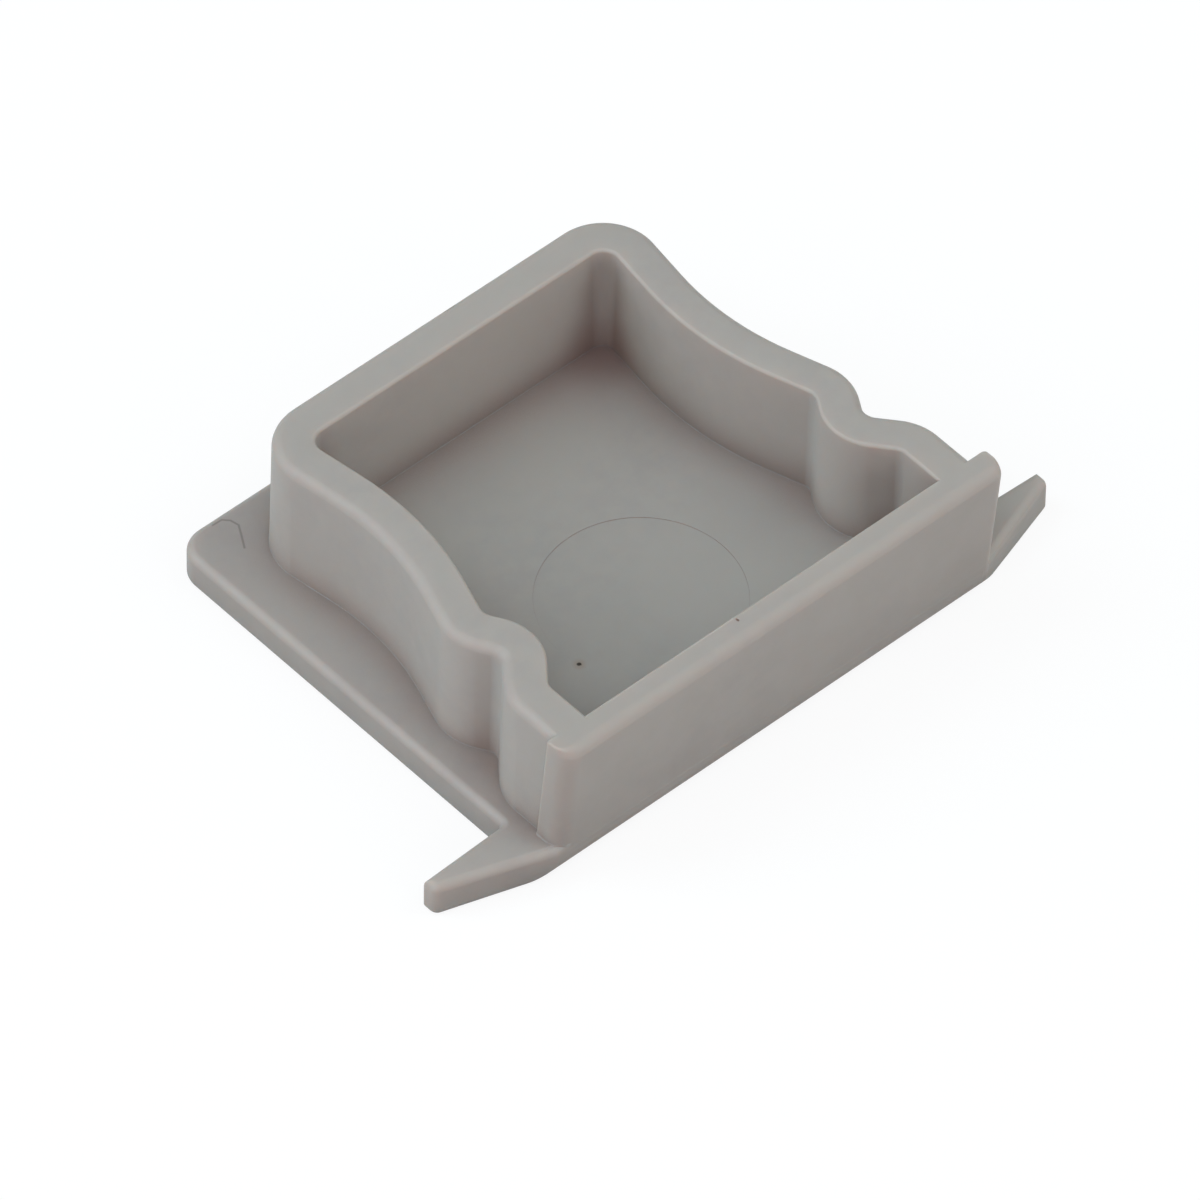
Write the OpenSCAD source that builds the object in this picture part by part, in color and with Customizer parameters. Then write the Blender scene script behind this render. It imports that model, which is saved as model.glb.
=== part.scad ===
// End cap for a recessed aluminium profile, moulded in one piece.
// It lies on the outer face of its plate, with the plug that pushes into the profile pointing up.
// X runs along the front wall, Y from the front to the back, Z up. The origin is under the
// middle of the whole outline, on the outer face.

/* [Plate] */
// Thickness of the plate that closes the end of the profile
plate_t = 0.95; // [0.8:0.05:1.6]
// Width of the plate across its straight sides
plate_w = 14; // [13.6:0.05:16]
// Depth from the foot of the front wall to the back edge
plate_d = 12.8; // [12.4:0.1:16]
// Radius of the two back corners, seen from above
plate_corner_r = 0.75; // [0.4:0.05:1.5]
// Rounding of the plate's upper edge
plate_edge_r = 0.2; // [0.1:0.02:0.24]
// Rounding of the plate's lower edge
plate_foot_r = 0.12; // [0.06:0.02:0.2]

/* [Wings] */
// Distance from tip to tip of the wings that cover the profile's flanges
wing_span = 19.05; // [18:0.05:22]
// Distance of the wings' back edge from the foot of the front wall, at the plate's side
wing_d = 1.41; // [1.2:0.01:2]
// Distance between the places where the wings' front edges leave the front wall's face
wing_root_w = 13.16; // [12.6:0.02:13.2]
// Angle between a wing's back edge and the front wall, in degrees
wing_taper = 2.2; // [0:0.1:4]
// Thickness of a wing at its blunt tip, seen from above
wing_tip_t = 0.48; // [0.4:0.02:0.8]
// Rounding of the wings' upper and lower edges
wing_edge_r = 0.15; // [0.06:0.01:0.18]

/* [Plug] */
// Overall height, from the outer face to the rim
cap_h = 4.4; // [3:0.1:9]
// Thickness of the plug's wall at its rim
wall_t = 1.01; // [0.7:0.01:1.1]
// Height of the cavity's floor over the outer face
floor_h = 1.2; // [1:0.05:1.6]
// Half the distance between the side walls' middles at the back corners
back_half_w = 5.21; // [5:0.01:5.6]
// Distance of the back wall's middle from the foot of the front wall
back_y = 11.34; // [11:0.01:12]
// Half the distance between the side walls' middles at the waist
waist_half_w = 4.61; // [4.4:0.01:4.9]
// Place of the waist behind the foot of the front wall
waist_y = 7.26; // [7:0.01:7.6]
// Half the distance between the side walls' middles at the hips
hip_half_w = 5.65; // [5.4:0.01:5.8]
// Place of the hips behind the foot of the front wall
hip_y = 4.13; // [3.9:0.01:4.3]
// Half the distance between the side walls' middles in the snap grooves
groove_half_w = 4.95; // [4.8:0.01:5.2]
// Place of the snap grooves behind the foot of the front wall
groove_y = 2.97; // [2.8:0.01:3.1]
// Half the distance between the side walls' middles at the shoulders
shoulder_half_w = 5.93; // [5.8:0.01:6.1]
// Place of the shoulders behind the foot of the front wall
shoulder_y = 1.79; // [1.7:0.01:1.9]
// Bend radius of the wall's middle at corners, hips, grooves and shoulders
bend_r = 0.9; // [0.86:0.01:0.95]
// Bend radius of the wall's middle at the waist
waist_r = 7.9; // [4:0.1:9]
// Draft of the wall's faces, in degrees
draft = 1.1; // [0:0.1:1.5]
// Rounding of the rim's outer edge
rim_outer_r = 0.26; // [0.1:0.02:0.4]
// Rounding of the rim's inner edge
rim_inner_r = 0.12; // [0.05:0.01:0.2]
// Fillet where the wall stands on the plate and on the cavity's floor
foot_r = 0.08; // [0.05:0.01:0.25]

/* [Front wall] */
// Thickness of the front wall
front_t = 0.77; // [0.72:0.01:1.1]
// Length of the front wall, past the side walls at both ends
front_w = 13.56; // [13.3:0.02:13.8]
// Forward lean of the front wall, in degrees
front_lean = 5.3; // [0:0.1:8]
// Rounding of the edge between the front wall and the outer face
front_foot_r = 0.5; // [0.2:0.05:0.6]
// Rounding of the front wall's upper front edge
front_rim_r = 0.3; // [0.1:0.02:0.4]
// Rounding of the front wall's upright end edges in front
front_end_r = 0.36; // [0.1:0.02:0.4]
// Rounding of the front wall's upright end edges behind
back_end_r = 0.2; // [0.1:0.02:0.3]
// Rounding of the front wall's rim at its two ends
rim_end_r = 0.06; // [0.04:0.01:0.2]
// Fillet between the front wall's ends and the wings
end_fillet_r = 0.2; // [0.1:0.02:0.2]

/* [Mould marks] */
// Diameter of the ejector pin that left its ring on the cavity's floor
ejector_d = 5; // [3:0.1:6]
// Height of the pin's mark over the cavity's floor
ejector_step = 0.03; // [0.01:0.01:0.05]
// Place of the ejector pin behind the foot of the front wall
ejector_y = 4.2; // [3.8:0.1:7]

/* [Hidden] */
$fn = 48;
lap = 0.3;                 // how far a solid reaches into the one that carries it
graze = 0.006;             // how far a fillet dips under the face that it runs out on
bend_step = 8;             // turn from one section of the wall to the next, in degrees
round_steps = 5;           // facets of a rounded edge
front_rim_y = (front_rim_r - (cap_h - front_rim_r) * sin(front_lean)) / cos(front_lean);
mid_y = (plate_d + front_rim_y - front_rim_r) / 2;
plate_front_y = front_foot_r;
lean = [cos(front_lean), sin(front_lean)];
wing_tip = [(wing_span - wing_tip_t) / 2,
            wing_d - wing_tip_t / 2 - (wing_span - plate_w - wing_tip_t) / 2 * tan(wing_taper)];
wing_root = [wing_root_w / 2, -0.2 * front_foot_r * lean.y];
wing_run = wing_tip - wing_root;
wing_angle = atan2(wing_run.y, wing_run.x) - asin(wing_tip_t / 2 / norm(wing_run));

// Middle line of the plug's wall, once round from the front on the right to the front on the left,
// as [x, y, bend radius]
right_side = [
    [shoulder_half_w, front_t / 2, 0],
    [shoulder_half_w, shoulder_y, bend_r],
    [groove_half_w, groove_y, bend_r],
    [hip_half_w, hip_y, bend_r],
    [waist_half_w, waist_y, waist_r],
    [back_half_w, back_y, bend_r]
];
plug_path = concat(
    right_side,
    [for (i = [len(right_side) - 1 : -1 : 0]) let (p = right_side[i]) [-p.x, p.y, p[2]]]
);

// Direction from a to b in degrees, and the turn at b on the way from a to c
function heading(a, b) = atan2(b.y - a.y, b.x - a.x);
function half_turned(t) = t > 180 ? t - 360 : t < -180 ? t + 360 : t;
function turn(a, b, c) = half_turned(heading(b, c) - heading(a, b));

// Stations [x, y, heading] round the bend at b on the way from a to c
function bend(a, b, c) =
    let (
        h = heading(a, b),
        t = turn(a, b, c),
        r = sign(t) * b[2],
        start = [b.x, b.y] - b[2] * tan(abs(t) / 2) * [cos(h), sin(h)],
        centre = start + r * [-sin(h), cos(h)],
        steps = ceil(abs(t) / bend_step)
    )
    [for (i = [0 : steps]) let (g = h + t * i / steps) [centre.x + r * sin(g), centre.y - r * cos(g), g]];

// Stations along a whole path
function stations(path) =
    let (last = len(path) - 1)
    concat(
        [[path[0].x, path[0].y, heading(path[0], path[1])]],
        [for (i = [1 : last - 1]) each bend(path[i - 1], path[i], path[i + 1])],
        [[path[last].x, path[last].y, heading(path[last - 1], path[last])]]
    );

// Points of an arc from angle a to angle b
function arc(centre, r, a, b) =
    [for (i = [0 : round_steps]) let (g = a + (b - a) * i / round_steps) centre + r * [cos(g), sin(g)]];

// Half width of the plug's wall at a height, wider towards its foot by the draft
function half_wall(z) = wall_t / 2 + (cap_h - z) * tan(draft);

// One face of the wall as [distance from the middle, height], from under the plate's face up to the
// rim: a foot fillet on the face at height foot_z and a rim rounding of radius r
function wall_face(r, foot_z) =
    let (
        low = foot_z - graze,
        foot = [half_wall(low + foot_r) + foot_r / cos(draft), low + foot_r],
        rim = [half_wall(cap_h - r) - r / cos(draft), cap_h - r]
    )
    concat(
        [[foot.x, plate_t - lap]],
        arc(foot, foot_r, 270, 180 + draft),
        arc(rim, r, draft, 90)
    );

// A face of the wall set up at a station, out to the right (side 1) or to the left (side -1), where
// the wall's ends lean with the front wall
function beside(s, face, side) =
    let (slope = s.y > front_t / 2 ? 0 : tan(front_lean), away = side * [sin(s[2]), -cos(s[2])])
    [for (p = face) [s.x + p.x * away.x, s.y + p.x * away.y - p.y * slope, p.y]];

// Solid skin over rings of points, each ring being one list up an outer face and one down an inner face
module skin(outer, inner) {
    n = len(outer);
    m = len(outer[0]);
    ring = 2 * m;
    points = [for (i = [0 : n - 1]) each concat(outer[i], [for (j = [m - 1 : -1 : 0]) inner[i][j]])];
    sides = [for (i = [0 : n - 2]) for (j = [0 : ring - 1]) let (k = (j + 1) % ring)
        [i * ring + j, i * ring + k, (i + 1) * ring + k, (i + 1) * ring + j]];
    first = [for (j = [0 : m - 2]) [j, ring - 1 - j, ring - 2 - j, j + 1]];
    last = [for (f = first) [for (j = [3 : -1 : 0]) (n - 1) * ring + f[j]]];
    polyhedron(points, concat(sides, first, last));
}

module plug() {
    way = stations(plug_path);
    skin(
        [for (s = way) beside(s, wall_face(rim_outer_r, plate_t), 1)],
        [for (s = way) beside(s, wall_face(rim_inner_r, floor_h), -1)]
    );
}

module both_sides() {
    children();
    mirror([1, 0, 0]) children();
}

// Section of the plate's rim, from the corner's middle out to the edge
module plate_edge() {
    r = plate_corner_r;
    top = [r - plate_edge_r, plate_t - plate_edge_r];
    foot = [r - plate_foot_r, plate_foot_r];
    polygon([[0, 0], [foot.x, 0], foot, [r, foot.y], [r, top.y], top, [top.x, plate_t], [0, plate_t]]);
    translate(top) circle(plate_edge_r);
    translate(foot) circle(plate_foot_r);
}

module plate() {
    corner = [plate_w / 2 - plate_corner_r, plate_d - plate_corner_r];
    translate([-corner.x, plate_front_y, 0])
        cube([2 * corner.x, corner.y - plate_front_y, plate_t]);
    translate([-corner.x, corner.y, 0])
        rotate([90, 0, 90])
            linear_extrude(2 * corner.x) plate_edge();
    both_sides() {
        translate([corner.x, corner.y, 0])
            rotate_extrude(angle = 90) plate_edge();
        translate([corner.x, corner.y, 0])
            rotate([90, 0, 0])
                linear_extrude(corner.y - plate_front_y) plate_edge();
    }
}

module cavity_floor() {
    translate([0, 0, plate_t - lap])
        linear_extrude(floor_h - plate_t + lap)
            polygon([for (p = plug_path) [p.x, p.y]]);
    translate([0, ejector_y, plate_t])
        cylinder(d = ejector_d, h = floor_h - plate_t + ejector_step, $fn = 96);
}

// Heights of the front wall's outlines from its still sharp foot to the rim, as
// [height, front face's y, growth of the ends]
front_levels = concat(
    [[0, 0, end_fillet_r]],
    [for (i = [0 : round_steps]) let (
        g = 90 * i / round_steps,
        z = plate_t - graze + end_fillet_r * (1 - cos(g))
    ) [z, -z * tan(front_lean), end_fillet_r * (1 - sin(g))]],
    [for (p = arc([front_rim_y, cap_h - front_rim_r], front_rim_r, 180 - front_lean, 90)) [p.y, p.x, 0]]
);

// How far an edge of rounding r has fallen back at a depth below the rim
function fall(r, depth) = depth < r ? r - sqrt(r * r - (r - depth) * (r - depth)) : 0;
function front_back_y(z) = front_t / lean.x - z * tan(front_lean) - fall(rim_inner_r, cap_h - z);
function front_end_x(level) = front_w / 2 + level[2] - fall(rim_end_r, cap_h - level.x);

// Outline of a level from left to right, along the front face and along the back face
function front_chain(level) =
    let (
        x = front_end_x(level),
        r = min(front_end_r + level[2], 0.6 * (front_back_y(level.x) - level.y) + level[2])
    )
    [for (p = concat(arc([r - x, level.y + r], r, 180, 270), arc([x - r, level.y + r], r, 270, 360)))
        [p.x, p.y, level.x]];
function back_chain(level) =
    let (
        x = front_end_x(level),
        y = front_back_y(level.x),
        r = min(back_end_r, 0.35 * (y - level.y))
    )
    [for (p = concat(arc([r - x, y - r], r, 180, 90), arc([x - r, y - r], r, 90, 0)))
        [p.x, p.y, level.x]];

module front_wall() {
    skin([for (l = front_levels) back_chain(l)], [for (l = front_levels) front_chain(l)]);
}

// A wing's outline from its root to its blunt tip, drawn in from the free edges by d
function wing_back(d) =
    let (r = wing_tip_t / 2 - d, run = wing_tip.x - plate_w / 2 + lap)
    concat(
        [[wing_tip.x - run, wing_tip.y + run * tan(wing_taper) + r / cos(wing_taper)]],
        arc(wing_tip, r, 90 - wing_taper, 5)
    );
function wing_front(d) =
    concat([wing_root - [d / sin(wing_angle), 0]], arc(wing_tip, wing_tip_t / 2 - d, wing_angle - 90, -5));

module wing() {
    r = wing_edge_r;
    levels = concat(arc([r, r], r, 270, 180), arc([r, plate_t - r], r, 180, 90));
    skin(
        [for (l = levels) [for (p = wing_back(l.x)) [p.x, p.y, l.y]]],
        [for (l = levels) [for (p = wing_front(l.x)) [p.x, p.y, l.y]]]
    );
}

// Rounds the foot of the front wall and of the wings' roots in one run from tip to tip
module foot_round() {
    centre = front_foot_r * [(1 - lean.y) / lean.x, 1] - graze * [1, 1];
    out = centre - 2 * front_foot_r * lean;
    translate([-wing_span / 2, 0, 0])
        rotate([90, 0, 90])
            linear_extrude(wing_span)
                difference() {
                    polygon([centre, out, [out.x, -front_foot_r], [centre.x, -front_foot_r]]);
                    translate(centre) circle(front_foot_r);
                }
}

module end_cap() color("#a29c97") translate([0, -mid_y, 0]) {
    plate();
    cavity_floor();
    plug();
    difference() {
        union() {
            front_wall();
            both_sides() wing();
        }
        foot_round();
    }
}

end_cap();
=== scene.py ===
import bpy
import bmesh
import math
from mathutils import Matrix, Vector


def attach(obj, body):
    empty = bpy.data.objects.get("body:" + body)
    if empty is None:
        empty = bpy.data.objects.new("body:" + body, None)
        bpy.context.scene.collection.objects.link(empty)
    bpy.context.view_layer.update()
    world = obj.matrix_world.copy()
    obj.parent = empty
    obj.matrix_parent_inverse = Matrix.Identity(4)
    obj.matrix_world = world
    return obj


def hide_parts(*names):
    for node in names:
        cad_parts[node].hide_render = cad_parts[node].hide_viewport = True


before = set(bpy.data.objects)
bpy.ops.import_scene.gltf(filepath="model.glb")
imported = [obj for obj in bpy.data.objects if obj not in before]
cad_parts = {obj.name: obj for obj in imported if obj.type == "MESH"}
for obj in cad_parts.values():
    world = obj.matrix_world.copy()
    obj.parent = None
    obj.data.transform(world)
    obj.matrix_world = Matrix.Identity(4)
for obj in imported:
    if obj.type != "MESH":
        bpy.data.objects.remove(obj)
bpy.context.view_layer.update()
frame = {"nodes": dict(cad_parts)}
print("frame loaded:", ", ".join(frame["nodes"]))

mm = 0.001


def sinDeg(a):
    return math.sin(math.radians(a))


def cosDeg(a):
    return math.cos(math.radians(a))


def tanDeg(a):
    return math.tan(math.radians(a))


# sizes of the whole moulding in millimetres, y counted from the foot of the front wall
cap = {
    "height": 4.4,
    "plateThickness": 0.95,
    "plateHalfWidth": 7.0,
    "plateDepth": 12.8,
    "floorHeight": 1.2,
    "frontThickness": 0.77,
    "frontLean": 5.3,
    "frontRimRadius": 0.3,
    "frontLeftEnd": -6.61,
    "frontRightEnd": 6.87,
    "rimInnerRadius": 0.09,
    "rootDepth": 0.3,  # how far walls reach down into the plate
    "overlap": 0.004,  # how far roundings sink into what they meet
}

# the frame's y starts at the middle of the whole depth, outer rim rounding included
rimCentreZ = cap["height"] - cap["frontRimRadius"]
rimCentreY = (cap["frontRimRadius"] - rimCentreZ * sinDeg(cap["frontLean"])) / cosDeg(cap["frontLean"])
middleY = (cap["plateDepth"] + rimCentreY - cap["frontRimRadius"]) / 2


def headingOf(a, b):
    return math.degrees(math.atan2(b[1] - a[1], b[0] - a[0]))


# stations (x, y, heading) from a to c round corner b, which carries its radius as b[2]
def bendStations(a, b, c, turnStep):
    heading = headingOf(a, b)
    turn = (headingOf(b, c) - heading + 180) % 360 - 180
    radius = math.copysign(b[2], turn)
    setback = b[2] * tanDeg(abs(turn) / 2)
    startX, startY = b[0] - setback * cosDeg(heading), b[1] - setback * sinDeg(heading)
    centreX, centreY = startX - radius * sinDeg(heading), startY + radius * cosDeg(heading)
    steps = max(1, math.ceil(abs(turn) / turnStep))
    stations = []
    for i in range(steps + 1):
        g = heading + turn * i / steps
        stations.append((centreX + radius * sinDeg(g), centreY - radius * cosDeg(g), g))
    return stations


def openStations(path, turnStep):
    stations = [(path[0][0], path[0][1], headingOf(path[0], path[1]))]
    for a, b, c in zip(path, path[1:], path[2:]):
        stations += bendStations(a, b, c, turnStep)
    stations.append((path[-1][0], path[-1][1], headingOf(path[-2], path[-1])))
    return stations


def closedStations(path, turnStep):
    stations = []
    count = len(path)
    for i in range(count):
        stations += bendStations(path[i - 1], path[i], path[(i + 1) % count], turnStep)
    return stations


# a closed path moved inwards, its corner radii going with it
def insetPath(path, inset):
    moved = []
    count = len(path)
    for i in range(count):
        a, b, c = path[i - 1], path[i], path[(i + 1) % count]
        heading = headingOf(a, b)
        turn = (headingOf(b, c) - heading + 180) % 360 - 180
        reach, middle = inset / cosDeg(turn / 2), heading + turn / 2
        radius = max(b[2] - math.copysign(inset, turn), cap["overlap"])
        moved.append((b[0] - reach * sinDeg(middle), b[1] + reach * cosDeg(middle), radius))
    return moved


# the left side's corners, in the order in which a path goes on from the right side's
def mirrored(rightSide):
    return [(-x, y, r) for x, y, r in rightSide[::-1]]


# a point beside a station, out to the right of the way by a distance
def besideStation(station, outward):
    x, y, heading = station
    return x + outward * sinDeg(heading), y - outward * cosDeg(heading)


def arcPoints(centre, radius, fromAngle, toAngle, steps):
    points = []
    for i in range(steps + 1):
        g = fromAngle + (toAngle - fromAngle) * i / steps
        points.append((centre[0] + radius * cosDeg(g), centre[1] + radius * sinDeg(g)))
    return points


# a closed solid from rings of points in millimetres, each ring a closed loop
def ringSolid(name, rings):
    mesh = bpy.data.meshes.new(name)
    bm = bmesh.new()
    rows = []
    for ring in rings:
        rows.append([bm.verts.new((x * mm, (y - middleY) * mm, z * mm)) for x, y, z in ring])
    size = len(rows[0])
    for low, high in zip(rows, rows[1:]):
        for j in range(size):
            k = (j + 1) % size
            bm.faces.new((low[j], low[k], high[k], high[j]))
    bm.faces.new(rows[0][::-1])
    bm.faces.new(rows[-1])
    bmesh.ops.remove_doubles(bm, verts=bm.verts, dist=1e-8)
    bmesh.ops.recalc_face_normals(bm, faces=bm.faces)
    bm.to_mesh(mesh)
    bm.free()
    solid = bpy.data.objects.new(name, mesh)
    bpy.context.scene.collection.objects.link(solid)
    return solid


# the modifiers' result becomes the object's own mesh
def bakeModifiers(solid):
    graph = bpy.context.evaluated_depsgraph_get()
    baked = bpy.data.meshes.new_from_object(solid.evaluated_get(graph))
    solid.modifiers.clear()
    old = solid.data
    solid.data = baked
    bpy.data.meshes.remove(old)


def combine(solid, tool, operation):
    step = solid.modifiers.new("combine", "BOOLEAN")
    step.operation = operation
    step.solver = "EXACT"
    step.object = tool
    bakeModifiers(solid)
    bpy.data.objects.remove(tool)


# the right side's corners are on the middle of the wall, each with its bend's radius
plug = {
    "wallThickness": 1.01,
    "draft": 1.1,
    "rimOuterRadius": 0.26,
    "footRadius": 0.03,
    "turnStep": 2.5,
    "roundSteps": 8,
    "rightSide": [
        (5.93, 0.385, 0),
        (5.93, 1.79, 0.9),
        (4.95, 2.97, 0.9),
        (5.65, 4.13, 0.9),
        (4.61, 7.26, 7.9),
        (5.21, 11.34, 0.9),
    ],
}


# one face of the plug's wall as (distance from the middle, height), from its foot up to the rim
def wallFace(rimRadius, footHeight):
    draft, footRadius, steps = plug["draft"], plug["footRadius"], plug["roundSteps"]

    def halfWall(z):
        return plug["wallThickness"] / 2 + (cap["height"] - z) * tanDeg(draft)

    footZ = footHeight - cap["overlap"] + footRadius
    rimZ = cap["height"] - rimRadius
    foot = (halfWall(footZ) + footRadius / cosDeg(draft), footZ)
    rim = (halfWall(rimZ) - rimRadius / cosDeg(draft), rimZ)
    face = [(foot[0], cap["plateThickness"] - cap["rootDepth"])]
    face += arcPoints(foot, footRadius, 270, 180 + draft, steps)
    face += arcPoints(rim, rimRadius, draft, 90, steps)
    return face


# the wall's two ends lean with the front wall, so that they stay inside it
def plugWall():
    path = plug["rightSide"] + mirrored(plug["rightSide"])
    outer = wallFace(plug["rimOuterRadius"], cap["plateThickness"])
    inner = wallFace(cap["rimInnerRadius"], cap["floorHeight"])
    stations = openStations(path, plug["turnStep"])
    rings = []
    for i, station in enumerate(stations):
        slope = tanDeg(cap["frontLean"]) if i in (0, len(stations) - 1) else 0
        ring = []
        for away, z in outer + [(-d, z) for d, z in inner[::-1]]:
            x, y = besideStation(station, away)
            ring.append((x, y - z * slope, z))
        rings.append(ring)
    return ringSolid("plugWall", rings)


# its sides are hidden in the middle of the plug's wall
def cavityFloor():
    outline = plug["rightSide"] + mirrored(plug["rightSide"])
    heights = cap["plateThickness"] - cap["rootDepth"], cap["floorHeight"]
    return ringSolid("cavityFloor", [[(x, y, z) for x, y, r in outline] for z in heights])


pinMark = {
    "diameter": 5.0,
    "centre": (-0.18, 4.23),
    "depth": 0.014,
    "flare": 0.01,
    "cutterTop": 0.1,
    "segments": 160,
}


# what the ejector pin takes off the cavity's floor
def pinCutter():
    radius, floor = pinMark["diameter"] / 2, cap["floorHeight"]
    centreX, centreY = pinMark["centre"]
    profile = [
        (radius, floor - pinMark["depth"]),
        (radius + pinMark["flare"], floor + pinMark["cutterTop"]),
    ]
    rings = []
    for r, z in profile:
        ring = []
        for i in range(pinMark["segments"]):
            g = 360 * i / pinMark["segments"]
            ring.append((centreX + r * cosDeg(g), centreY + r * sinDeg(g), z))
        rings.append(ring)
    return ringSolid("pinCutter", rings)


plate = {
    "cornerRadius": 0.75,
    "upperRound": 0.22,
    "lowerRound": 0.13,
    "turnStep": 5,
    "roundSteps": 7,
}

wing = {
    "leftTip": 9.46,
    "rightTip": 9.525,
    "backY": 1.41,
    "backAngle": 2.2,
    "tipThickness": 0.48,
    "tipRoundShare": 0.94,
    "tipBackCorner": 0.06,
    "root": (6.58, -0.0092),
    "rootRadius": 0.2,
    "innerCorner": 0.08,
    "leanFadeWidth": 2.6,  # the front is upright again this far out from the root
    "leanFadeDepth": 1.2,  # and this far back
}


# one side's corners, from the wing's root to the plate's back
def plateSide(tipX):
    w, back = cap["plateHalfWidth"], cap["plateDepth"]
    rootX, rootY = wing["root"]
    tipRadius = wing["tipThickness"] / 2
    centreX = tipX - tipRadius
    centreY = wing["backY"] - tipRadius - (centreX - w) * tanDeg(wing["backAngle"])
    runX, runY = centreX - rootX, centreY - rootY
    flankAngle = math.asin(tipRadius / math.hypot(runX, runY))
    frontAngle = math.degrees(math.atan2(runY, runX) - flankAngle)
    return [
        (rootX, rootY, wing["rootRadius"]),
        (tipX, rootY + (tipX - rootX) * tanDeg(frontAngle), wing["tipRoundShare"] * tipRadius),
        (tipX, wing["backY"] - (tipX - w) * tanDeg(wing["backAngle"]), wing["tipBackCorner"]),
        (w, wing["backY"], wing["innerCorner"]),
        (w, back, plate["cornerRadius"]),
    ]


# insets and heights round the plate's lower and upper edge
def plateLevels():
    low, high, steps = plate["lowerRound"], plate["upperRound"], plate["roundSteps"]
    levels = arcPoints((low, low), low, 270, 180, steps)
    levels += arcPoints((high, cap["plateThickness"] - high), high, 180, 90, steps)
    return levels


# the plate and both wings in one outline, its front leaning like the front wall
def basePlate():
    path = plateSide(wing["rightTip"]) + mirrored(plateSide(wing["leftTip"]))
    rootX = wing["root"][0]
    rings = []
    for inset, z in plateLevels():
        ring = []
        for x, y, heading in closedStations(insetPath(path, inset), plate["turnStep"]):
            upright = min(1, max(0, (abs(x) - rootX) / wing["leanFadeWidth"], y / wing["leanFadeDepth"]))
            ring.append((x, y - z * tanDeg(cap["frontLean"]) * (1 - upright), z))
        rings.append(ring)
    return ringSolid("basePlate", rings)


frontWallShape = {
    "footRadius": 0.5,
    "footSteps": 16,
    "frontLeftRound": 0.45,
    "frontRightRound": 0.26,
    "backEndRound": 0.1,
    "frontRoundShare": 0.64,  # the most that the end roundings take of the wall's thickness
    "backRoundShare": 0.32,
    "endRimRound": 0.05,
    "endFillet": 0.05,
    "lowest": 0.15,
    "flankStart": 1.15,
    "flankStep": 0.58,
    "flankCount": 4,
    "roundSteps": 10,
}


# how far a rounded edge of a radius falls back at a depth under the face
def fallBack(radius, depth):
    return radius - math.sqrt(radius ** 2 - (radius - depth) ** 2) if depth < radius else 0


# (height, place of the front face, growth of the ends), the front None where it just leans
def frontWallLevels():
    shape, fillet = frontWallShape, frontWallShape["endFillet"]
    levels = [(shape["lowest"], None, fillet)]
    for growth, z in arcPoints((fillet, fillet), fillet, 270, 180, shape["roundSteps"]):
        levels.append((cap["plateThickness"] - cap["overlap"] + z, None, growth))
    for i in range(shape["flankCount"]):
        levels.append((shape["flankStart"] + (i + 1) * shape["flankStep"], None, 0))
    rimCentre, rimRadius = (rimCentreY, rimCentreZ), cap["frontRimRadius"]
    for y, z in arcPoints(rimCentre, rimRadius, 180 - cap["frontLean"], 90, shape["roundSteps"]):
        levels.append((z, y, 0))
    return levels


# the leaning slab with its foot still sharp, its ends growing out onto the wings
def frontWall():
    shape, lean, height = frontWallShape, cap["frontLean"], cap["height"]
    rings = []
    for z, front, growth in frontWallLevels():
        front = -z * tanDeg(lean) if front is None else front
        back = cap["frontThickness"] / cosDeg(lean) - z * tanDeg(lean)
        back -= fallBack(cap["rimInnerRadius"], height - z)
        out = growth - fallBack(shape["endRimRound"], height - z)
        left, right = cap["frontLeftEnd"] - out, cap["frontRightEnd"] + out
        leftR = min(shape["frontLeftRound"] + growth, shape["frontRoundShare"] * (back - front))
        rightR = min(shape["frontRightRound"] + growth, shape["frontRoundShare"] * (back - front))
        backR = min(shape["backEndRound"], shape["backRoundShare"] * (back - front))
        corners = [
            (right - backR, back - backR, backR, 0),
            (left + backR, back - backR, backR, 90),
            (left + leftR, front + leftR, leftR, 180),
            (right - rightR, front + rightR, rightR, 270),
        ]
        ring = []
        for cx, cy, r, start in corners:
            ring += [(x, y, z) for x, y in arcPoints((cx, cy), r, start, start + 90, shape["roundSteps"])]
        rings.append(ring)
    return ringSolid("frontWall", rings)


# what comes off below the rounded foot, from one wing's tip to the other's
def footCutter():
    lean, radius, low = cap["frontLean"], frontWallShape["footRadius"], cap["overlap"]
    centreY, centreZ = radius * (1 - sinDeg(lean)) / cosDeg(lean) - low, radius - low
    section = arcPoints((centreY, centreZ), radius, 180 + lean, 270, frontWallShape["footSteps"])
    section += [
        (centreY, -1),
        (-1, -1),
        (-1, radius),
        (centreY - 2 * radius * cosDeg(lean), centreZ - 2 * radius * sinDeg(lean)),
    ]
    reach = wing["rightTip"] + 0.1
    return ringSolid("footCutter", [[(x, y, z) for y, z in section] for x in (-reach, reach)])


# a small dent in the front wall's rim, with a burr pushed up beside it
nick = {
    "dent": (-0.91, 0.205, 4.4),
    "dentSize": (0.035, 0.055, 0.05),
    "burr": (-0.955, 0.3, 4.375),
    "burrSize": (0.05, 0.05, 0.03),
    "poleAngle": 85,
    "rows": 8,
    "segments": 16,
}


def softLump(name, centre, size):
    pole, rows, segments = nick["poleAngle"], nick["rows"], nick["segments"]
    rings = []
    for i in range(rows + 1):
        g = -pole + 2 * pole * i / rows
        ring = []
        for j in range(segments):
            h = 360 * j / segments
            way = cosDeg(g) * cosDeg(h), cosDeg(g) * sinDeg(h), sinDeg(g)
            ring.append(tuple(c + s * w for c, s, w in zip(centre, size, way)))
        rings.append(ring)
    return ringSolid(name, rings)


shading = {
    "sharpAngle": 40,
    "faceWeight": 80,
}


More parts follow.
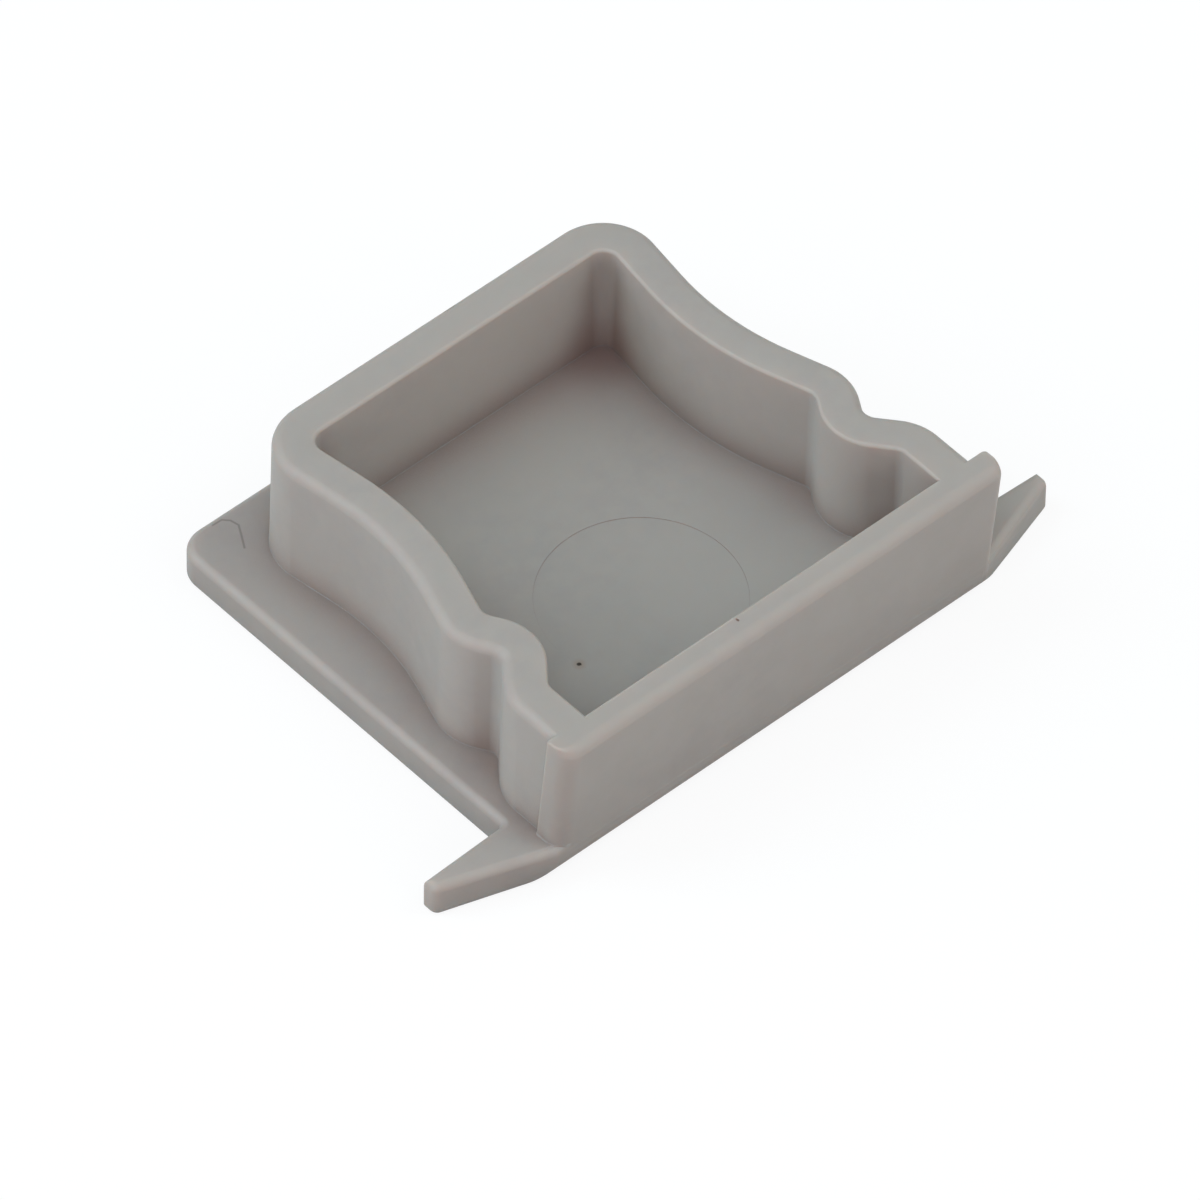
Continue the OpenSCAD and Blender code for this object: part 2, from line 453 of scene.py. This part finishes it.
def smoothShading(solid):
    for face in solid.data.polygons:
        face.use_smooth = True
    solid.data.set_sharp_from_angle(angle=math.radians(shading["sharpAngle"]))
    soften = solid.modifiers.new("evenShading", "WEIGHTED_NORMAL")
    soften.mode = "FACE_AREA"
    soften.weight = shading["faceWeight"]
    soften.keep_sharp = True


body = basePlate()
body.name = "endCapBody"
for part, operation in (
    (frontWall(), "UNION"),
    (footCutter(), "DIFFERENCE"),
    (cavityFloor(), "UNION"),
    (pinCutter(), "DIFFERENCE"),
    (plugWall(), "UNION"),
    (softLump("rimNick", nick["dent"], nick["dentSize"]), "DIFFERENCE"),
    (softLump("rimBurr", nick["burr"], nick["burrSize"]), "UNION"),
):
    partName = part.name
    combine(body, part, operation)
    print("combined", partName, len(body.data.polygons), "faces")

body.data.name = "endCapBody"
smoothShading(body)
print("moulding done:", len(body.data.vertices), "points")


# the satin plastic, its sizes in metres and its shades as shares of its colour
plastic = {
    "colour": (0.375, 0.34, 0.312),
    "cloudSize": 0.0045,
    "cloudDark": (0.975, 0.975, 0.985),
    "cloudLight": (1.02, 1.02, 1.01),
    "mottleSize": 0.0006,
    "mottleLight": (1.03, 1.025, 1.02),
    "roughness": 0.56,
    "wearSize": 0.0009,
    "wearRange": (-0.05, 0.06),
    "scatter": 0.6,
    "scatterRadius": (1.0, 0.5, 0.35),
    "scatterSize": 0.0008,
    # painted shade in the creases: its reach, the openness it spans, its dark warm tint and where it fades
    # out along x
    "paintedCreaseShadeReach": 0.0015,
    "paintedCreaseShadeOpenness": (0.4, 0.84),
    "paintedCreaseShadeTint": (0.68, 0.56, 0.53, 1),
    "paintedCreaseShadeEnd": (0.0068, 0.0074),
    "grainSize": 0.00009,
    "grainDepth": 0.0000016,
    "waveSize": 0.0022,
    "waveDepth": 0.000004,
    "refraction": 1.5,
}


# a socket takes another node's output or a plain value
def feed(tree, socket, value):
    if isinstance(value, bpy.types.NodeSocket):
        tree.links.new(value, socket)
    else:
        socket.default_value = value


# a node with its settings; its inputs are named, or numbered as i0, i1 where names repeat
def addNode(tree, kind, settings=None, **inputs):
    node = tree.nodes.new(kind)
    for key, value in (settings or {}).items():
        setattr(node, key, value)
    for key, value in inputs.items():
        feed(tree, node.inputs[int(key[1:]) if key[1:].isdigit() else key], value)
    return node


def noiseOf(tree, place, size, detail, roughness=0.5):
    inputs = {"Vector": place, "Scale": 1 / size, "Detail": detail, "Roughness": roughness}
    return addNode(tree, "ShaderNodeTexNoise", None, **inputs).outputs["Fac"]


# a value's range turned into another range, clamped
def remap(tree, value, fromLow, fromHigh, toLow, toHigh):
    inputs = {"From Min": fromLow, "From Max": fromHigh, "To Min": toLow, "To Max": toHigh}
    settings = {"interpolation_type": "SMOOTHSTEP"}
    return addNode(tree, "ShaderNodeMapRange", settings, Value=value, **inputs).outputs["Result"]


def mixColour(tree, factor, a, b, blend="MIX"):
    settings = {"data_type": "RGBA", "blend_type": blend}
    return addNode(tree, "ShaderNodeMix", settings, i0=factor, i6=a, i7=b).outputs[2]


def plainMath(tree, operation, a, b, clamp=False):
    settings = {"operation": operation, "use_clamp": clamp}
    return addNode(tree, "ShaderNodeMath", settings, i0=a, i1=b).outputs[0]


def vectorMath(tree, operation, **inputs):
    return addNode(tree, "ShaderNodeVectorMath", {"operation": operation}, **inputs)


# the shading place's distance from a chain of points given in millimetres
def distanceToChain(tree, place, chain):
    points = [Vector((x, y - middleY, z)) * mm for x, y, z in chain]
    nearest = None
    for a, b in zip(points, points[1:]):
        way = b - a
        out = vectorMath(tree, "SUBTRACT", i0=place, i1=a).outputs["Vector"]
        share = vectorMath(tree, "DOT_PRODUCT", i0=out, i1=way / way.length_squared).outputs["Value"]
        along = plainMath(tree, "ADD", share, 0.0, clamp=True)
        foot = vectorMath(tree, "SCALE", i0=way, Scale=along).outputs["Vector"]
        away = vectorMath(tree, "DISTANCE", i0=out, i1=foot).outputs["Value"]
        nearest = away if nearest is None else plainMath(tree, "MINIMUM", nearest, away)
    return nearest


# small marks of handling: chain of points, radius, soft edge and what they do to the colour
marks = {
    "speck": ([(-2.61, 3.669, 1.175), (-2.6, 3.669, 1.175)], 0.042, 0.03, (0.07, 0.05, 0.04, 1)),
    "speckHalo": ([(-2.62, 3.65, 1.175), (-2.59, 3.68, 1.175)], 0.05, 0.16, (0.95, 0.86, 0.78, 1)),
    "rimFleck": ([(0.44, 11.77, 4.32), (0.7, 11.77, 4.32)], 0.03, 0.05, (0.66, 0.68, 0.64, 1)),
    "hair": (
        [
            (-5.96, 12.6, 0.95),
            (-5.7, 12.59, 0.95),
            (-5.56, 12.44, 0.95),
            (-5.51, 12.21, 0.95),
            (-5.68, 11.91, 0.95),
            (-5.87, 11.59, 0.95),
        ],
        0.01,
        0.03,
        (0.66, 0.66, 0.66, 1),
    ),
}


def tinted(tree, share, base, tint):
    return mixColour(tree, share, base, mixColour(tree, 1.0, base, tint, "MULTIPLY"))


def withMarks(tree, place, base):
    for chain, radius, edge, tint in marks.values():
        away = distanceToChain(tree, place, chain)
        share = remap(tree, away, radius * mm, (radius + edge) * mm, 1, 0)
        base = tinted(tree, share, base, tint)
    return base


# painted shade: creases are darkened and warmed in the colour by an occlusion tint, but not out on the
# wings
def withPaintedCreaseShade(tree, place, base):
    settings = {"samples": 6, "only_local": True}
    openness = addNode(tree, "ShaderNodeAmbientOcclusion", settings, Distance=plastic["paintedCreaseShadeReach"])
    depth = remap(tree, openness.outputs["AO"], *plastic["paintedCreaseShadeOpenness"], 1, 0)
    x = addNode(tree, "ShaderNodeSeparateXYZ", None, Vector=place).outputs["X"]
    inward = remap(tree, plainMath(tree, "ABSOLUTE", x, 0.0), *plastic["paintedCreaseShadeEnd"], 1, 0)
    return tinted(tree, plainMath(tree, "MULTIPLY", depth, inward), base, plastic["paintedCreaseShadeTint"])


def shadeOf(factors):
    return (*(c * f for c, f in zip(plastic["colour"], factors)), 1)


def plasticColour(tree, place):
    cloud = remap(tree, noiseOf(tree, place, plastic["cloudSize"], 3), 0.35, 0.65, 0, 1)
    mottle = remap(tree, noiseOf(tree, place, plastic["mottleSize"], 4, 0.6), 0.3, 0.7, 0, 1)
    base = mixColour(tree, cloud, shadeOf(plastic["cloudDark"]), shadeOf(plastic["cloudLight"]))
    base = mixColour(tree, mottle, base, shadeOf(plastic["mottleLight"]))
    # painted shade goes into the creases before the marks
    return withMarks(tree, place, withPaintedCreaseShade(tree, place, base))


def plasticRoughness(tree, place):
    wear = noiseOf(tree, place, plastic["wearSize"], 5, 0.6)
    low, high = (plastic["roughness"] + change for change in plastic["wearRange"])
    return remap(tree, wear, 0.3, 0.7, low, high)


# fine grain of the mould on a faint broad waviness
def plasticRelief(tree, place):
    grain = noiseOf(tree, place, plastic["grainSize"], 3, 0.6)
    wave = noiseOf(tree, place, plastic["waveSize"], 2)
    fine = addNode(tree, "ShaderNodeBump", None, Height=grain, Strength=1.0, Distance=plastic["grainDepth"])
    inputs = {"Height": wave, "Distance": plastic["waveDepth"], "Normal": fine.outputs["Normal"]}
    return addNode(tree, "ShaderNodeBump", None, Strength=1.0, **inputs).outputs["Normal"]


def mouldedPlastic():
    material = bpy.data.materials.new("mouldedPlastic")
    material.use_nodes = True
    tree = material.node_tree
    shader = tree.nodes["Principled BSDF"]
    place = tree.nodes.new("ShaderNodeTexCoord").outputs["Object"]
    feed(tree, shader.inputs["Base Color"], plasticColour(tree, place))
    feed(tree, shader.inputs["Roughness"], plasticRoughness(tree, place))
    feed(tree, shader.inputs["Normal"], plasticRelief(tree, place))
    shader.inputs["Subsurface Weight"].default_value = plastic["scatter"]
    shader.inputs["Subsurface Radius"].default_value = plastic["scatterRadius"]
    shader.inputs["Subsurface Scale"].default_value = plastic["scatterSize"]
    shader.inputs["IOR"].default_value = plastic["refraction"]
    return material


body.data.materials.clear()
body.data.materials.append(mouldedPlastic())
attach(body, "root")
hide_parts("end_cap")
print("material done")


studio = {
    "floorSize": 1.2,
    "floorDrop": 0.00002,
    "floorColour": (0.45, 0.45, 0.45, 1),
    # painted shadow on the floor's bounce colour close to the part: its colour, the footprint's half size
    # and the reach of its fade
    "paintedContactShadow": (0.02, 0.02, 0.02, 1),
    "paintedShadowHalfSize": (0.0078, 0.0066),
    "paintedShadowReach": (0.0004, 0.0032),
    "floorSeenColour": (1, 1, 1, 1),
    "floorShare": 0.12,
    "skyStrength": 0.35,
    "lampSize": 0.2,
    "lampDistance": 0.4,
}

# lamps round the object: degrees to the right of the camera, degrees up, power in watts, tint
lamps = {
    "leftLow": (-90, 25, 0.51, (0.76, 0.88, 1.0)),
    "leftHigh": (-90, 55, 0.437, (0.67, 0.95, 1.0)),
    "leftFill": (-45, 25, 0.26, (0.92, 0.9, 0.86)),
    "frontLow": (-5, 14, 0.15, (1.0, 0.97, 0.93)),
    "frontFill": (0, 55, 0.21, (0.9, 0.75, 1.0)),
    "rightFill": (45, 25, 0.254, (1.0, 0.95, 0.96)),
    "rightLow": (90, 25, 0.17, (0.86, 1.0, 0.98)),
    "rightHigh": (90, 55, 0.337, (0.77, 1.0, 1.0)),
}


# 1 for rays that show the floor itself, 0 for those that carry its light to the object
def seenDirectly(tree):
    path = tree.nodes.new("ShaderNodeLightPath")
    first = plainMath(tree, "MAXIMUM", path.outputs["Is Camera Ray"], path.outputs["Is Glossy Ray"])
    return plainMath(tree, "MAXIMUM", first, path.outputs["Is Transmission Ray"])


# painted shadow: the floor's bounce colour is darkened close to the part, where the part shades it
def bounceColour(tree):
    place = tree.nodes.new("ShaderNodeTexCoord").outputs["Object"]
    spot = addNode(tree, "ShaderNodeSeparateXYZ", None, Vector=place)
    beside = []
    for axis, half in zip("XY", studio["paintedShadowHalfSize"]):
        out = plainMath(tree, "ABSOLUTE", spot.outputs[axis], 0.0)
        beside.append(plainMath(tree, "SUBTRACT", out, half))
    away = remap(tree, plainMath(tree, "MAXIMUM", *beside), *studio["paintedShadowReach"], 0, 1)
    return mixColour(tree, away, studio["paintedContactShadow"], studio["floorColour"])


def paleFloor():
    material = bpy.data.materials.new("paleFloor")
    material.use_nodes = True
    tree = material.node_tree
    tree.nodes.clear()
    seen = seenDirectly(tree)
    colour = mixColour(tree, seen, bounceColour(tree), studio["floorSeenColour"])
    surface = addNode(tree, "ShaderNodeBsdfDiffuse", None, Color=colour).outputs[0]
    white = addNode(tree, "ShaderNodeEmission", None, Color=(1, 1, 1, 1), Strength=1.0).outputs[0]
    whiteShare = plainMath(tree, "MULTIPLY", seen, 1 - studio["floorShare"])
    mix = addNode(tree, "ShaderNodeMixShader", None, Fac=whiteShare, i1=surface, i2=white)
    addNode(tree, "ShaderNodeOutputMaterial", None, Surface=mix.outputs[0])
    return material


def studioFloor():
    mesh = bpy.data.meshes.new("studioFloor")
    bm = bmesh.new()
    bmesh.ops.create_grid(bm, x_segments=1, y_segments=1, size=studio["floorSize"])
    bm.to_mesh(mesh)
    bm.free()
    floor = bpy.data.objects.new("studioFloor", mesh)
    floor.location.z = -studio["floorDrop"]
    bpy.context.scene.collection.objects.link(floor)
    mesh.materials.append(paleFloor())


def studioSky():
    world = bpy.data.worlds.new("studioSky")
    bpy.context.scene.world = world
    world.use_nodes = True
    tree = world.node_tree
    tree.nodes.clear()
    strength = studio["skyStrength"]
    sky = addNode(tree, "ShaderNodeBackground", None, Color=(1, 1, 1, 1), Strength=strength).outputs[0]
    white = addNode(tree, "ShaderNodeBackground", None, Color=(1, 1, 1, 1), Strength=1.0).outputs[0]
    seen = tree.nodes.new("ShaderNodeLightPath").outputs["Is Camera Ray"]
    mix = addNode(tree, "ShaderNodeMixShader", None, Fac=seen, i1=sky, i2=white)
    addNode(tree, "ShaderNodeOutputWorld", None, Surface=mix.outputs[0])


cameraView = {
    "azimuth": -42.562,
    "elevation": 48.389,
    "roll": 0.958,
    "distance": 0.409846,
    "lens": 536.04,
    "sensorWidth": 36,
    "clip": (0.01, 10),
    "lookAt": (-0.001414, -0.0019205, 0.002),
}


def softLamp(name, around, up, power, tint):
    a = cameraView["azimuth"] + around
    out = Vector((sinDeg(a) * cosDeg(up), -cosDeg(a) * cosDeg(up), sinDeg(up)))
    data = bpy.data.lights.new(name, "AREA")
    data.size = studio["lampSize"]
    data.energy = power
    data.color = tint
    lamp = bpy.data.objects.new(name, data)
    lamp.location = out * studio["lampDistance"]
    lamp.rotation_mode = "QUATERNION"
    lamp.rotation_quaternion = out.to_track_quat("Z", "Y")
    bpy.context.scene.collection.objects.link(lamp)


def photoCamera():
    a, e, roll = (math.radians(cameraView[k]) for k in ("azimuth", "elevation", "roll"))
    back = Vector((math.sin(a) * math.cos(e), -math.cos(a) * math.cos(e), math.sin(e)))
    level = Vector((math.cos(a), math.sin(a), 0))
    above = back.cross(level)
    right = level * math.cos(roll) + above * math.sin(roll)
    top = above * math.cos(roll) - level * math.sin(roll)
    turned = Matrix((right, top, back)).transposed().to_4x4()
    place = Vector(cameraView["lookAt"]) + back * cameraView["distance"]
    data = bpy.data.cameras.new("photoCamera")
    data.lens = cameraView["lens"]
    data.sensor_width = cameraView["sensorWidth"]
    data.clip_start, data.clip_end = cameraView["clip"]
    camera = bpy.data.objects.new("photoCamera", data)
    camera.matrix_world = Matrix.Translation(place) @ turned
    bpy.context.scene.collection.objects.link(camera)
    bpy.context.scene.camera = camera


studioFloor()
studioSky()
for name, (around, up, power, tint) in lamps.items():
    softLamp(name, around, up, power, tint)
photoCamera()
bpy.context.scene.view_settings.view_transform = "Standard"
print("floor, light and camera done")
